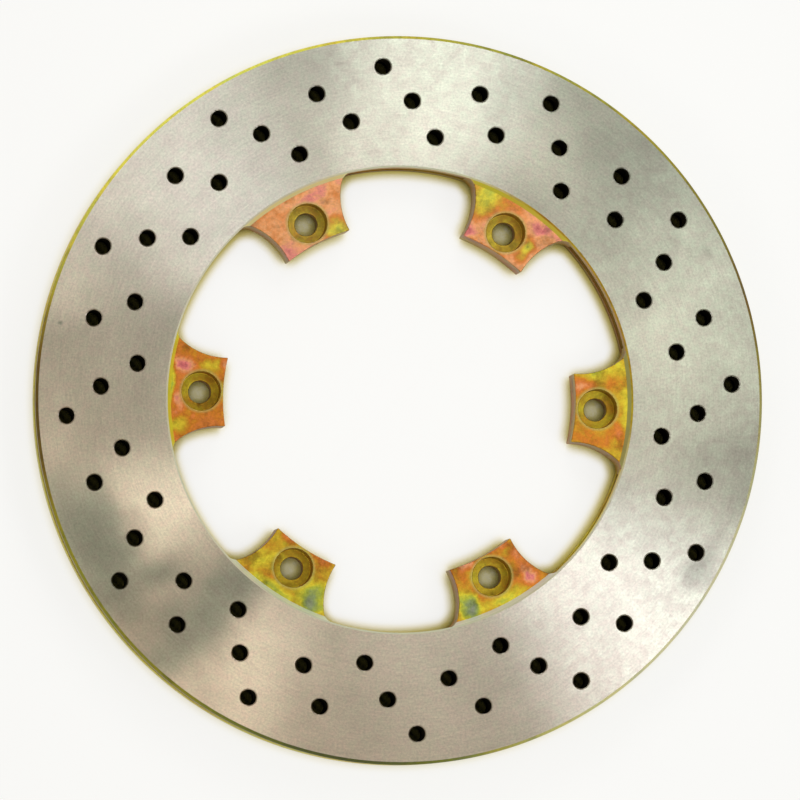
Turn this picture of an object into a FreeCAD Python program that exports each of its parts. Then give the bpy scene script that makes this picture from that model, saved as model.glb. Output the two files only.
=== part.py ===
"""Ventilated, cross-drilled brake disc rotor with six inward mounting lugs.

The disc is one casting. It is built here as its functional members, which meet face to face:
two friction plates, the swept cooling vanes between them, and the mounting lugs at the bore.

Frame: millimetres, +Z along the rotor axis out of the front friction face (the side with the
counterbores), origin at the centre of the rotor, halfway through its thickness. Lug 1 is on +X.
"""
import FreeCAD, Part
import math
import os
import Sketcher
from FreeCAD import Placement, Rotation, Vector

START, END, CENTRE = 1, 2, 3
ORIGIN = (-1, START)
X_AXIS = -1
AXIS_X = Vector(1, 0, 0)
AXIS_Z = Vector(0, 0, 1)
TOUCHING = 1e-4

doc = FreeCAD.newDocument("brake_disc_rotor")

# ---------------------------------------------------------------- driving dimensions
# Lengths are in millimetres and angles in degrees.
SIZES = (
    ("rotor_diameter", 206.0, "outside diameter"),
    ("rotor_thickness", 16.0, "over both friction faces"),
    ("vent_gap", 6.0, "clear height of the air passages between the plates"),
    ("bolt_circle", 112.5, "pitch circle diameter of the bolt holes"),
    ("lug_tip_reach", 6.25, "bolt circle inwards to the circle that the lug tips lie on"),
    ("lug_root_reach", 9.5, "bolt circle outwards to the bore of both friction plates"),
    ("rim_chamfer", 0.8, "outer edge of each friction face"),
    ("bore_chamfer", 0.5, "inner edge of each friction face"),
    ("drill_diameter", 4.5, "cross-drilled holes, over the corners of their flats"),
    ("drill_flats", 16, "flats that stand for the round wall of a cross-drilled hole"),
    ("drill_inner_margin", 9.2, "plate bore to the innermost circle of holes"),
    ("drill_outer_margin", 8.6, "outermost circle of holes to the outside"),
    ("drill_row_sweep", 10.6, "angle a slanted row of holes turns from innermost to outermost circle"),
    ("row_pairs", 12, "repeats round the disc of a three-hole row and a two-hole row"),
    ("vane_thickness", 4.0, "wall of a vane"),
    ("vane_inner_setback", 2.6, "plate bore to the inner end of a vane"),
    ("vane_outer_setback", 1.6, "outer end of a vane to the outside"),
    ("lug_count", 6, "mounting lugs"),
    ("lug_width", 19.4, "width of a lug at its tip"),
    ("lug_recess", 1.5, "lug face below the friction face, on both sides"),
    ("scallop_setback", 8.0, "plate bore to the centre of the round pocket between two lugs"),
    ("root_fillet", 3.5, "where the side of a lug runs into the plate bore"),
    ("root_toe", 0.15, "the root fillet aims this far past the plate bore, which blunts its toe"),
    ("bolt_hole", 6.4, "clearance hole for an M6 screw"),
    ("counterbore", 11.0, "seat for the head of the screw"),
    ("counterbore_depth", 6.2, "depth of that seat below the lug face"),
)

sheet = doc.addObject("Spreadsheet::Sheet", "Sizes")
for row, (alias, value, meaning) in enumerate(SIZES, start=1):
    sheet.set(f"A{row}", meaning)
    sheet.set(f"B{row}", str(value))
    sheet.setAlias(f"B{row}", alias)
doc.recompute()


def size(alias):
    """The number in the sheet cell with this alias."""
    return float(sheet.get(alias))


# Formulas that several members share, so that what meets also lines up.
HALF_THICKNESS = "Sizes.rotor_thickness / 2"
HALF_GAP = "Sizes.vent_gap / 2"
RIM_RADIUS = "(Sizes.rotor_diameter / 2)"
BORE_RADIUS = "(Sizes.bolt_circle / 2 + Sizes.lug_root_reach)"
TIP_RADIUS = "(Sizes.bolt_circle / 2 - Sizes.lug_tip_reach)"
LUG_FACE = "(Sizes.rotor_thickness / 2 - Sizes.lug_recess)"
INNER_CIRCLE = f"({BORE_RADIUS} + Sizes.drill_inner_margin)"
OUTER_CIRCLE = f"({RIM_RADIUS} - Sizes.drill_outer_margin)"
MIDDLE_CIRCLE = f"(({INNER_CIRCLE} + {OUTER_CIRCLE}) / 2)"
ROW_PITCH = "(180 / Sizes.row_pairs)"
VANE_TAIL = f"({BORE_RADIUS} + Sizes.vane_inner_setback)"
VANE_HEAD = f"({RIM_RADIUS} - Sizes.vane_outer_setback)"
SCALLOP_CENTRE = f"({BORE_RADIUS} - Sizes.scallop_setback)"
HALF_LUG_PITCH = "(180 / Sizes.lug_count)"
SCALLOP_RADIUS = f"({SCALLOP_CENTRE} * sin({HALF_LUG_PITCH}) - Sizes.lug_width / 2)"

rim_radius = size("rotor_diameter") / 2
bore_radius = size("bolt_circle") / 2 + size("lug_root_reach")
inner_circle = bore_radius + size("drill_inner_margin")
outer_circle = rim_radius - size("drill_outer_margin")
middle_circle = (inner_circle + outer_circle) / 2
vane_count = 2 * int(size("row_pairs"))
lug_count = int(size("lug_count"))


def swept(radius):
    """Angle of the spiral that the rows of holes and the vanes follow; 0 on the middle circle."""
    return (radius - middle_circle) * size("drill_row_sweep") / (outer_circle - inner_circle)


def swept_formula(radius):
    """The same angle as a formula for the sheet."""
    return f"({radius} - {MIDDLE_CIRCLE}) * Sizes.drill_row_sweep / ({OUTER_CIRCLE} - {INNER_CIRCLE})"


# ---------------------------------------------------------------- sketching
def new_body(label):
    """An empty body that carries the node's name."""
    body = doc.addObject("PartDesign::Body", label)
    body.Label = label
    return body


def origin_feature(body, role):
    """One of the body's own origin planes or axes."""
    return [feature for feature in body.Origin.OriginFeatures if feature.Role == role][0]


def new_sketch(body, name, plane):
    """A sketch on one of the body's own origin planes."""
    sketch = body.newObject("Sketcher::SketchObject", name)
    sketch.AttachmentSupport = [(origin_feature(body, plane), "")]
    sketch.MapMode = "FlatFace"
    return sketch


def polar(radius, degrees):
    """Point on the XY plane."""
    turn = math.radians(degrees)
    return Vector(radius * math.cos(turn), radius * math.sin(turn), 0)


def add_polygon(sketch, corners):
    """Closed outline: side i runs from corner i to the next one."""
    count = len(corners)
    for i in range(count):
        sketch.addGeometry(Part.LineSegment(corners[i], corners[(i + 1) % count]), False)
    for i in range(count):
        join(sketch, "Coincident", (i, END), ((i + 1) % count, START))


def add_arc(sketch, centre, radius, first, last, construction=False):
    """Arc drawn anticlockwise between two angles in degrees."""
    circle = Part.Circle(centre, AXIS_Z, radius)
    arc = Part.ArcOfCircle(circle, math.radians(first), math.radians(last))
    return sketch.addGeometry(arc, construction)


def join(sketch, kind, first, second):
    """Geometric constraint between two points, or two curves, of a sketch."""
    sketch.addConstraint(Sketcher.Constraint(kind, *first, *second))


def bind(sketch, kind, place, formula):
    """Sizing constraint that follows the sheet; it starts from the size as drawn."""
    if kind == "Radius":
        drawn = sketch.Geometry[place[0]].Radius
    elif kind == "Distance":
        drawn = abs(sketch.Geometry[place[0]].Radius - sketch.Geometry[place[1]].Radius)
    else:
        span = sketch.getPoint(*place[2:]) - sketch.getPoint(*place[:2])
        drawn = span.x if kind == "DistanceX" else span.y
    index = sketch.addConstraint(Sketcher.Constraint(kind, *place, drawn))
    sketch.setExpression(f"Constraints[{index}]", formula)


def bind_polar(sketch, point, radius, turn):
    """Tie a drawn point to a radius and to an angle from the X axis, both formulas."""
    bind(sketch, "DistanceX", ORIGIN + point, f"{radius} * cos({turn})")
    height = sketch.getPoint(*point).y
    if abs(height) < TOUCHING:
        join(sketch, "PointOnObject", point, (X_AXIS,))
    elif height > 0:
        bind(sketch, "DistanceY", ORIGIN + point, f"{radius} * sin({turn})")
    else:
        bind(sketch, "DistanceY", point + ORIGIN, f"-{radius} * sin({turn})")


def turned(body, index, count):
    """Place the body at its step round the rotor axis."""
    body.Placement = Placement(Vector(), Rotation(AXIS_Z, 360.0 * index / count))


# ---------------------------------------------------------------- friction plates
def plate_section(body):
    """Half section of a plate: flat annulus, both edges of its friction face chamfered."""
    sketch = new_sketch(body, body.Name + "_section", "XZ_Plane")
    low = size("vent_gap") / 2
    face = size("rotor_thickness") / 2
    add_polygon(sketch, [
        Vector(bore_radius, low, 0),
        Vector(rim_radius, low, 0),
        Vector(rim_radius, face - size("rim_chamfer"), 0),
        Vector(rim_radius - size("rim_chamfer"), face, 0),
        Vector(bore_radius + size("bore_chamfer"), face, 0),
        Vector(bore_radius, face - size("bore_chamfer"), 0),
    ])
    for side in (0, 3):
        sketch.addConstraint(Sketcher.Constraint("Horizontal", side))
    for side in (1, 5):
        sketch.addConstraint(Sketcher.Constraint("Vertical", side))
    bind(sketch, "DistanceX", ORIGIN + (0, START), BORE_RADIUS)
    bind(sketch, "DistanceX", ORIGIN + (1, START), RIM_RADIUS)
    bind(sketch, "DistanceY", ORIGIN + (0, START), HALF_GAP)
    bind(sketch, "DistanceY", ORIGIN + (3, START), HALF_THICKNESS)
    bind(sketch, "DistanceX", (2, END, 2, START), "Sizes.rim_chamfer")
    bind(sketch, "DistanceY", (2, START, 2, END), "Sizes.rim_chamfer")
    bind(sketch, "DistanceX", (4, END, 4, START), "Sizes.bore_chamfer")
    bind(sketch, "DistanceY", (4, END, 4, START), "Sizes.bore_chamfer")
    return sketch


def drill_row_pair(body, side):
    """Two neighbouring slanted rows: three holes, then two on the circles between them.

    The middle of the three-hole row lies on the X axis. A row turns further the further out it
    gets; side is -1 on the plate that is turned over, whose rows lean the other way. With sixteen
    flats a hole stays within 0.05 mm of round, and its wall stays light.
    """
    drills = []
    circles = 5
    for circle in range(circles):
        share = circle / (circles - 1)
        radius = f"({INNER_CIRCLE} + {share} * ({OUTER_CIRCLE} - {INNER_CIRCLE}))"
        turn = f"{side} * ({circle % 2} * {ROW_PITCH} + {swept_formula(radius)})"
        drill = body.newObject("PartDesign::SubtractivePrism", f"{body.Name}_drill_{circle + 1}")
        drill.AttachmentSupport = [(origin_feature(body, "XY_Plane"), "")]
        drill.MapMode = "FlatFace"
        drill.setExpression("Polygon", "Sizes.drill_flats")
        drill.setExpression("Circumradius", "Sizes.drill_diameter / 2")
        drill.setExpression("Height", "Sizes.rotor_thickness")
        drill.setExpression(".AttachmentOffset.Base.x", f"{radius} * cos({turn})")
        drill.setExpression(".AttachmentOffset.Base.y", f"{radius} * sin({turn})")
        doc.recompute()
        drills.append(drill)
    return drills


def friction_plate(label, side):
    """One cheek of the rotor: a turned annulus with slanted rows of holes drilled through it."""
    body = new_body(label)
    section = plate_section(body)
    annulus = body.newObject("PartDesign::Revolution", label + "_annulus")
    annulus.Profile = section
    annulus.ReferenceAxis = (section, ["V_Axis"])
    annulus.Angle = 360
    doc.recompute()

    drills = drill_row_pair(body, side)
    rows = body.newObject("PartDesign::PolarPattern", label + "_rows")
    rows.Originals = drills
    rows.Axis = (origin_feature(body, "Z_Axis"), [""])
    rows.Angle = 360
    rows.setExpression("Occurrences", "Sizes.row_pairs")
    body.Tip = rows
    doc.recompute()
    if side < 0:
        body.Placement = Placement(Vector(), Rotation(AXIS_X, 180))
    return body


# ---------------------------------------------------------------- cooling vanes
def cooling_vane(label, index):
    """A web of even thickness on a swept arc, as tall as the air passage, with turned ends.

    Its middle line passes through three points of the spiral that the rows of holes follow, half
    a row pitch away, so that no hole breaks into a vane. Both ends lie on circles about the axis.
    """
    body = new_body(label)
    sketch = new_sketch(body, label + "_web", "XY_Plane")
    tail_radius = bore_radius + size("vane_inner_setback")
    head_radius = rim_radius - size("vane_outer_setback")
    tail = polar(tail_radius, swept(tail_radius))
    head = polar(head_radius, swept(head_radius))
    middle = Vector(middle_circle, 0, 0)
    spine_circle = Part.Arc(tail, middle, head).toShape().Curve
    centre = spine_circle.Center
    first = math.degrees(math.atan2(tail.y - centre.y, tail.x - centre.x))
    last = math.degrees(math.atan2(head.y - centre.y, head.x - centre.x))

    marks = []
    for point, radius_formula in ((tail, VANE_TAIL), (middle, MIDDLE_CIRCLE), (head, VANE_HEAD)):
        mark = sketch.addGeometry(Part.Point(point), True)
        bind_polar(sketch, (mark, START), radius_formula, swept_formula(radius_formula))
        marks.append((mark, START))
    spine = add_arc(sketch, centre, spine_circle.Radius, first, last, construction=True)
    join(sketch, "Coincident", (spine, START), marks[0])
    join(sketch, "PointOnObject", marks[1], (spine,))
    join(sketch, "Coincident", (spine, END), marks[2])

    half_wall = size("vane_thickness") / 2
    walls = [add_arc(sketch, centre, spine_circle.Radius + offset, first, last)
             for offset in (-half_wall, half_wall)]
    for wall in walls:
        join(sketch, "Coincident", (wall, CENTRE), (spine, CENTRE))
    bind(sketch, "Distance", (walls[0], spine), "Sizes.vane_thickness / 2")
    bind(sketch, "Distance", (spine, walls[1]), "Sizes.vane_thickness / 2")
    for radius, turn, radius_formula, place in (
            (tail_radius, swept(tail_radius), VANE_TAIL, START),
            (head_radius, swept(head_radius), VANE_HEAD, END)):
        half_width = math.degrees(half_wall / radius)
        end = add_arc(sketch, Vector(), radius, turn - half_width, turn + half_width)
        join(sketch, "Coincident", (end, CENTRE), ORIGIN)
        join(sketch, "Coincident", (end, START), (walls[1], place))
        join(sketch, "Coincident", (end, END), (walls[0], place))
        bind(sketch, "Radius", (end,), radius_formula)
    doc.recompute()

    web = body.newObject("PartDesign::Pad", label + "_height")
    web.Profile = sketch
    web.SideType = "Symmetric"
    web.setExpression("Length", "Sizes.vent_gap")
    doc.recompute()
    turned(body, index + 0.5, vane_count)
    return body


# ---------------------------------------------------------------- mounting lugs
def lug_section(body):
    """Half section of the flange that the lugs are cut from: flat, with sloped lips at the plates.

    The lip climbs at 45 degrees from the lug face to the foot of the plate's own bore chamfer.
    """
    sketch = new_sketch(body, body.Name + "_section", "XZ_Plane")
    tip = size("bolt_circle") / 2 - size("lug_tip_reach")
    face = size("rotor_thickness") / 2 - size("lug_recess")
    lip = size("rotor_thickness") / 2 - size("bore_chamfer")
    foot = bore_radius - (lip - face)
    add_polygon(sketch, [
        Vector(tip, -face, 0),
        Vector(foot, -face, 0),
        Vector(bore_radius, -lip, 0),
        Vector(bore_radius, lip, 0),
        Vector(foot, face, 0),
        Vector(tip, face, 0),
    ])
    for low, high in (((0, START), (5, START)), ((1, START), (4, START)), ((2, START), (3, START))):
        join(sketch, "Symmetric", low, high + (X_AXIS,))
    bind(sketch, "DistanceX", ORIGIN + (5, START), TIP_RADIUS)
    bind(sketch, "DistanceX", ORIGIN + (3, START), BORE_RADIUS)
    bind(sketch, "DistanceX", (4, START, 3, START), "Sizes.lug_recess - Sizes.bore_chamfer")
    bind(sketch, "DistanceY", ORIGIN + (3, START), f"{HALF_THICKNESS} - Sizes.bore_chamfer")
    bind(sketch, "DistanceY", ORIGIN + (4, START), LUG_FACE)
    bind(sketch, "DistanceY", ORIGIN + (5, START), LUG_FACE)
    return sketch


def scallop_outline(body):
    """Outline of the pocket beside a lug, drawn about the pocket's own axis.

    A round cutter leaves its arc, which runs tangent into the straight side of the lug, and a
    fillet turns the arc into the plate bore. The two straight sides meet on the pocket axis.
    """
    sketch = new_sketch(body, body.Name + "_pocket", "XY_Plane")
    lean = 180.0 / size("lug_count")
    sketch.AttachmentOffset = Placement(Vector(), Rotation(AXIS_Z, lean))
    sketch.setExpression(".AttachmentOffset.Rotation.Angle", HALF_LUG_PITCH)
    middle = bore_radius - size("scallop_setback")
    cutter = middle * math.sin(math.radians(lean)) - size("lug_width") / 2
    limit = bore_radius + size("root_toe")
    fillet = size("root_fillet")
    fillet_x = ((limit - fillet) ** 2 + middle ** 2 - (cutter - fillet) ** 2) / (2 * middle)
    fillet_y = math.sqrt((limit - fillet) ** 2 - fillet_x ** 2)
    cutter_end = math.degrees(math.atan2(fillet_y, fillet_x - middle))
    limit_end = math.degrees(math.atan2(fillet_y, fillet_x))
    apex = Vector(middle - cutter / math.sin(math.radians(lean)), 0, 0)
    touch = Vector(middle, 0, 0) + polar(cutter, 90 + lean)

    upper_side = sketch.addGeometry(Part.LineSegment(apex, touch), False)
    lower_side = sketch.addGeometry(Part.LineSegment(apex, Vector(touch.x, -touch.y, 0)), False)
    upper_arc = add_arc(sketch, Vector(middle, 0, 0), cutter, cutter_end, 90 + lean)
    lower_arc = add_arc(sketch, Vector(middle, 0, 0), cutter, -90 - lean, -cutter_end)
    upper_fillet = add_arc(sketch, Vector(fillet_x, fillet_y, 0), fillet, limit_end, cutter_end)
    lower_fillet = add_arc(sketch, Vector(fillet_x, -fillet_y, 0), fillet, -cutter_end, -limit_end)
    bore_arc = add_arc(sketch, Vector(), limit, -limit_end, limit_end)

    join(sketch, "Coincident", (upper_side, START), (lower_side, START))
    join(sketch, "PointOnObject", (upper_side, START), (X_AXIS,))
    join(sketch, "Tangent", (upper_side, END), (upper_arc, END))
    join(sketch, "Tangent", (lower_side, END), (lower_arc, START))
    join(sketch, "Tangent", (upper_arc, START), (upper_fillet, END))
    join(sketch, "Tangent", (lower_arc, END), (lower_fillet, START))
    join(sketch, "Tangent", (upper_fillet, START), (bore_arc, END))
    join(sketch, "Tangent", (lower_fillet, END), (bore_arc, START))
    join(sketch, "Coincident", (bore_arc, CENTRE), ORIGIN)
    join(sketch, "PointOnObject", (upper_arc, CENTRE), (X_AXIS,))
    join(sketch, "Coincident", (lower_arc, CENTRE), (upper_arc, CENTRE))
    join(sketch, "Equal", (upper_fillet,), (lower_fillet,))
    bind(sketch, "DistanceX", ORIGIN + (upper_arc, CENTRE), SCALLOP_CENTRE)
    bind(sketch, "Radius", (upper_arc,), SCALLOP_RADIUS)
    bind(sketch, "Radius", (bore_arc,), f"{BORE_RADIUS} + Sizes.root_toe")
    bind(sketch, "Radius", (upper_fillet,), "Sizes.root_fillet")
    doc.recompute()
    return sketch


def mounting_lug(label, index):
    """One lug: a sector of the flange, scalloped on both sides and counterbored for its screw."""
    body = new_body(label)
    section = lug_section(body)
    sector = body.newObject("PartDesign::Revolution", label + "_sector")
    sector.Profile = section
    sector.ReferenceAxis = (section, ["V_Axis"])
    sector.Midplane = True
    sector.setExpression("Angle", f"1.4 * {HALF_LUG_PITCH}")
    doc.recompute()

    scallop = body.newObject("PartDesign::Pocket", label + "_scallop")
    scallop.Profile = scallop_outline(body)
    scallop.Type = "ThroughAll"
    scallop.SideType = "Symmetric"
    doc.recompute()
    both = body.newObject("PartDesign::Mirrored", label + "_both_sides")
    both.Originals = [scallop]
    both.MirrorPlane = (origin_feature(body, "XZ_Plane"), [""])
    body.Tip = both
    doc.recompute()

    centre = new_sketch(body, label + "_bolt_centre", "XY_Plane")
    centre.setExpression(".AttachmentOffset.Base.z", LUG_FACE)
    mark = centre.addGeometry(
        Part.Circle(Vector(size("bolt_circle") / 2, 0, 0), AXIS_Z, size("bolt_hole") / 2), False)
    join(centre, "PointOnObject", (mark, CENTRE), (X_AXIS,))
    bind(centre, "DistanceX", ORIGIN + (mark, CENTRE), "Sizes.bolt_circle / 2")
    bind(centre, "Radius", (mark,), "Sizes.bolt_hole / 2")
    bolt_hole = body.newObject("PartDesign::Hole", label + "_bolt_hole")
    bolt_hole.Profile = centre
    doc.recompute()
    bolt_hole.DepthType = "ThroughAll"
    bolt_hole.HoleCutType = "Counterbore"
    bolt_hole.HoleCutCustomValues = True
    bolt_hole.setExpression("Diameter", "Sizes.bolt_hole")
    bolt_hole.setExpression("HoleCutDiameter", "Sizes.counterbore")
    bolt_hole.setExpression("HoleCutDepth", "Sizes.counterbore_depth")
    body.Tip = bolt_hole
    doc.recompute()
    turned(body, index, lug_count)
    return body


# ---------------------------------------------------------------- the rotor
members = [friction_plate("front_friction_plate", 1), friction_plate("rear_friction_plate", -1)]
for number in range(vane_count):
    members.append(cooling_vane(f"cooling_vane_{number + 1:02d}", number))
for number in range(lug_count):
    members.append(mounting_lug(f"mounting_lug_{number + 1}", number))
doc.recompute()

failed = [item.Name for item in doc.Objects if "Invalid" in item.State or "Error" in item.State]
if failed:
    raise RuntimeError(f"these objects did not build: {failed}")
for member in members:
    if member.Shape.isNull() or not member.Shape.isValid() or len(member.Shape.Solids) != 1:
        raise RuntimeError(f"{member.Label} is not one valid solid")

os.makedirs("parts", exist_ok=True)
for member in members:
    member.Shape.exportStep(os.path.join("parts", member.Label + ".step"))
print(f"{len(members)} members written")
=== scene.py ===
import math

import bmesh
import bpy
from mathutils import Matrix, Vector


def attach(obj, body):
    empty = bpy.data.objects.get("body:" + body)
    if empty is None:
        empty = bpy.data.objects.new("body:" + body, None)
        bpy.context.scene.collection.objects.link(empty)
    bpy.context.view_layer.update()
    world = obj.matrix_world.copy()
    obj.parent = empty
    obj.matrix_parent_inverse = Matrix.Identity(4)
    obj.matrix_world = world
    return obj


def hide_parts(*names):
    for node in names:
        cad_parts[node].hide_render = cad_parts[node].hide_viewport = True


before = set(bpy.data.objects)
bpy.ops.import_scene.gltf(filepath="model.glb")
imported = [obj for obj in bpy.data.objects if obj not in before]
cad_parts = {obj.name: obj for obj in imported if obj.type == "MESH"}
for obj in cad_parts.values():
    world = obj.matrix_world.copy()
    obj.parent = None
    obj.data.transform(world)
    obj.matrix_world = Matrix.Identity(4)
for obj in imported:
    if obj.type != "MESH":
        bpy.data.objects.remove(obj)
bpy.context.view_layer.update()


# ---------------------------------------------------------------------------
# Friction plates: the two cheeks of the cast-iron disc, 103 mm in radius and 5 mm thick, 6 mm
# apart. Turned all over and plated yellow as one casting, then drilled and countersunk; last, both
# outer faces are ground bare on a rotary table, which leaves fine rings about the axle.
# ---------------------------------------------------------------------------
MM = 0.001
RIM_RADIUS = 103 * MM
PLATE_BORE_RADIUS = 65.75 * MM
FACE_HEIGHT = 8 * MM
PASSAGE_HEIGHT = 3 * MM
RIM_CHAMFER = 0.8 * MM
BORE_CHAMFER = 0.5 * MM
CAST_EDGE = 0.25 * MM

DRILL_RADIUS = 2.25 * MM
DRILL_MOUTH = 0.3 * MM
INNER_HOLE_CIRCLE = 74.95 * MM
OUTER_HOLE_CIRCLE = 94.4 * MM
ROW_SWEEP = math.radians(10.6)
ROW_PAIRS = 12
HOLES_PER_PAIR = 5
RING_STEPS = 360
DRILL_STEPS = 40


def polar(radius, degrees, height=0.0):
    angle = math.radians(degrees)
    return Vector((radius * math.cos(angle), radius * math.sin(angle), height))


class NodeBench:
    """Lays out the nodes of one tree: each call adds a node, sets it and wires its inputs."""

    def __init__(self, tree):
        self.tree = tree

    def add(self, kind, inputs=None, **settings):
        node = self.tree.nodes.new(kind)
        for name, value in settings.items():
            setattr(node, name, value)
        self.wire(node, inputs or {})
        return node

    def wire(self, node, inputs):
        """Gives a node's inputs, by name or number, their values or their wires."""
        for key, value in inputs.items():
            if isinstance(value, bpy.types.NodeSocket):
                self.tree.links.new(value, node.inputs[key])
            else:
                node.inputs[key].default_value = value

    def make(self, kind, inputs=None, **settings):
        """Adds a node and hands on its first output."""
        return self.add(kind, inputs, **settings).outputs[0]

    def maths(self, operation, first, second=None):
        terms = {0: first} if second is None else {0: first, 1: second}
        return self.make("ShaderNodeMath", terms, operation=operation)

    def plus(self, first, second):
        return self.maths("ADD", first, second)

    def minus(self, first, second):
        return self.maths("SUBTRACT", first, second)

    def times(self, first, second):
        return self.maths("MULTIPLY", first, second)

    def over(self, first, second):
        return self.maths("DIVIDE", first, second)

    def above(self, value, limit):
        return self.maths("GREATER_THAN", value, limit)

    def below(self, value, limit):
        return self.maths("LESS_THAN", value, limit)

    def arrows(self, operation, first, second):
        return self.make("ShaderNodeVectorMath", {0: first, 1: second}, operation=operation)

    def flat(self, place):
        """The place dropped along the axle."""
        return self.arrows("MULTIPLY", place, (1.0, 1.0, 0.0))

    def length(self, arrow):
        return self.add("ShaderNodeVectorMath", {0: arrow}, operation="LENGTH").outputs["Value"]

    def xyz(self, **parts):
        return self.make("ShaderNodeCombineXYZ", parts)

    def apart(self, arrow):
        return self.add("ShaderNodeSeparateXYZ", {0: arrow}).outputs

    def spread(self, value, low, high, start=0.0, end=1.0, **settings):
        """Carries the run from low to high over to the run from start to end."""
        return self.make("ShaderNodeMapRange", {"Value": value, "From Min": low, "From Max": high,
                                                "To Min": start, "To Max": end}, **settings)

    def noise(self, place, scale, detail, roughness=0.5, distortion=0.0):
        return self.make("ShaderNodeTexNoise", {
            "Vector": place, "Scale": scale, "Detail": detail, "Roughness": roughness,
            "Distortion": distortion})

    def ramp(self, value, stops):
        """Colours by value, given as (value, colour) from the lowest up."""
        node = self.add("ShaderNodeValToRGB", {"Fac": value})
        elements = node.color_ramp.elements
        elements[0].position = stops[0][0]
        elements[1].position = stops[-1][0]
        for position, _ in stops[1:-1]:
            elements.new(position)
        for element, (_, colour) in zip(elements, stops):
            element.color = (*colour, 1)
        return node.outputs[0]

    def mix(self, share, first, second, blend="MIX"):
        """Two colours, each a socket or three numbers, mixed or multiplied."""
        first, second = [(*colour, 1) if isinstance(colour, tuple) else colour
                         for colour in (first, second)]
        return self.add("ShaderNodeMix", {"Factor": share, 6: first, 7: second},
                        data_type="RGBA", blend_type=blend).outputs[2]

    def choose(self, share, first, second):
        return self.make("ShaderNodeMix", {"Factor": share, 2: first, 3: second},
                         data_type="FLOAT")

    def relief(self, strength, depth, height):
        return self.make("ShaderNodeBump", {"Strength": strength, "Distance": depth,
                                            "Height": height})


def node_group(name, kind, inputs, outputs):
    """A named node group. Inputs are (name, socket type, value), outputs (name, socket type)."""
    tree = bpy.data.node_groups.new(name, kind)
    for label, socket_type, value in inputs:
        socket = tree.interface.new_socket(label, in_out="INPUT",
                                           socket_type="NodeSocket" + socket_type)
        if value is not None:
            socket.default_value = value
    for label, socket_type in outputs:
        tree.interface.new_socket(label, in_out="OUTPUT", socket_type="NodeSocket" + socket_type)
    bench = NodeBench(tree)
    return bench, bench.add("NodeGroupInput").outputs


def build_with_nodes(name, tree, values):
    """Runs a geometry tree once with the given values and keeps its result as a plain mesh."""
    holder = bpy.data.objects.new(name + "_blank", bpy.data.meshes.new(name + "_blank"))
    bpy.context.scene.collection.objects.link(holder)
    modifier = holder.modifiers.new(name, "NODES")
    modifier.node_group = tree
    for socket in tree.interface.items_tree:
        if socket.item_type == "SOCKET" and socket.in_out == "INPUT" and socket.name in values:
            modifier[socket.identifier] = values[socket.name]
    depsgraph = bpy.context.evaluated_depsgraph_get()
    mesh = bpy.data.meshes.new_from_object(holder.evaluated_get(depsgraph))
    mesh.name = name
    if mesh.materials[0] is None:
        # the blank's own empty finish comes first
        mesh.materials.pop(index=0)
    piece = bpy.data.objects.new(name, mesh)
    bpy.context.scene.collection.objects.link(piece)
    bpy.data.objects.remove(holder)
    return piece


def new_finish(name):
    """An empty material with its bench, its shader and the place each point has on the disc."""
    material = bpy.data.materials.new(name)
    material.use_nodes = True
    bench = NodeBench(material.node_tree)
    place = bench.add("ShaderNodeTexCoord").outputs["Object"]
    return material, bench, material.node_tree.nodes["Principled BSDF"], place


def soft_patch(bench, place, middle, reach, change):
    """A soft-edged spot: all of the change at its middle, none at its reach along each axis."""
    local = bench.make("ShaderNodeMapping", {"Vector": place, "Location": tuple(middle),
                                             "Scale": tuple(reach)}, vector_type="TEXTURE")
    return bench.spread(bench.length(local), 0.0, 1.0, change, 0.0,
                        interpolation_type="SMOOTHSTEP")


def round_patch(bench, place, radius, around, reach, change):
    """A round soft spot at a distance from the axle and a bearing in degrees."""
    return soft_patch(bench, place, polar(radius, around), (reach, reach, 1.0), change)


def wander(bench, place, scale, amount):
    """The place pushed about by a slow noise, so that spots laid on it lose their round shape."""
    noise = bench.add("ShaderNodeTexNoise", {"Vector": place, "Scale": scale, "Detail": 2.0})
    push = bench.arrows("SUBTRACT", noise.outputs["Color"], (0.5, 0.5, 0.5))
    push = bench.make("ShaderNodeVectorMath", {0: push, "Scale": amount}, operation="SCALE")
    return bench.arrows("ADD", place, push)


# Ring marks: what a grinding wheel leaves on a face turning under it, fine rings about the axle
# that break up along their length.
def ring_marks_group():
    bench, given = node_group("ring_marks", "ShaderNodeTree", [
        ("Place", "Vector", None), ("Rings per metre", "Float", 2600.0),
        ("Breaks per turn", "Float", 14.0)], [("Marks", "Float")])
    place = bench.apart(given["Place"])
    radius = bench.maths("SQRT", bench.plus(bench.times(place["X"], place["X"]),
                                            bench.times(place["Y"], place["Y"])))
    # a cosine and a sine of the turn angle keep the marks whole where the turn begins again
    breaks = given["Breaks per turn"]
    ringwise = bench.xyz(X=bench.times(bench.over(place["X"], radius), breaks),
                         Y=bench.times(bench.over(place["Y"], radius), breaks),
                         Z=bench.times(radius, given["Rings per metre"]))
    bench.add("NodeGroupOutput", {"Marks": bench.noise(ringwise, 1.0, 2.0, 0.6)})
    return bench.tree


RING_MARKS = ring_marks_group()


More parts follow.
